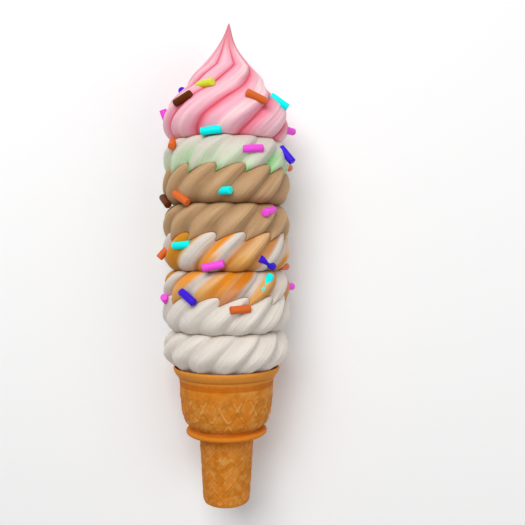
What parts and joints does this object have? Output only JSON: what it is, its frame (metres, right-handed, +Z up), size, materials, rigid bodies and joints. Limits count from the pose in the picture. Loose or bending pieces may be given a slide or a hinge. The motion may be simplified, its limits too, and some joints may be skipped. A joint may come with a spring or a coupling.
{
  "type": "soft-serve ice cream cone",
  "caption": "Tall soft-serve ice cream in a wafer cup cone: stacked ridged rolls in several flavours, a drawn-up peak and sugar rods, lying on its side.",
  "frame": {"origin": "bottom centre of the whole box: on the surface it lies on, half way along and half way across", "axes": "+Y runs along the cone from the wafer's base to the tip of the peak, +Z is up and is the side that the picture shows, +X is across it"},
  "size_m": [0.0786, 0.273, 0.0732],
  "materials": {
    "wafer": "matte, golden-brown baked wafer",
    "vanilla_lower": "soft sheen, off-white soft serve",
    "vanilla_upper": "soft sheen, off-white soft serve",
    "caramel_lower": "soft sheen, white soft serve with orange-gold ripple",
    "caramel_upper": "soft sheen, white soft serve with orange-gold ripple",
    "chocolate_lower": "soft sheen, pale milk-chocolate soft serve",
    "chocolate_upper": "soft sheen, pale milk-chocolate soft serve",
    "mint": "soft sheen, white soft serve with pale green grooves",
    "strawberry": "soft sheen, pink soft serve with darker grooves"
  },
  "bodies": {
    "root": {"wafer_cup": "wafer", "vanilla_roll_lower": "vanilla_lower", "vanilla_roll_upper": "vanilla_upper", "caramel_roll_lower": "caramel_lower", "caramel_roll_upper": "caramel_upper", "chocolate_roll_lower": "chocolate_lower", "chocolate_roll_upper": "chocolate_upper", "mint_roll": "mint", "strawberry_peak": "strawberry"}
  },
  "joints": []
}
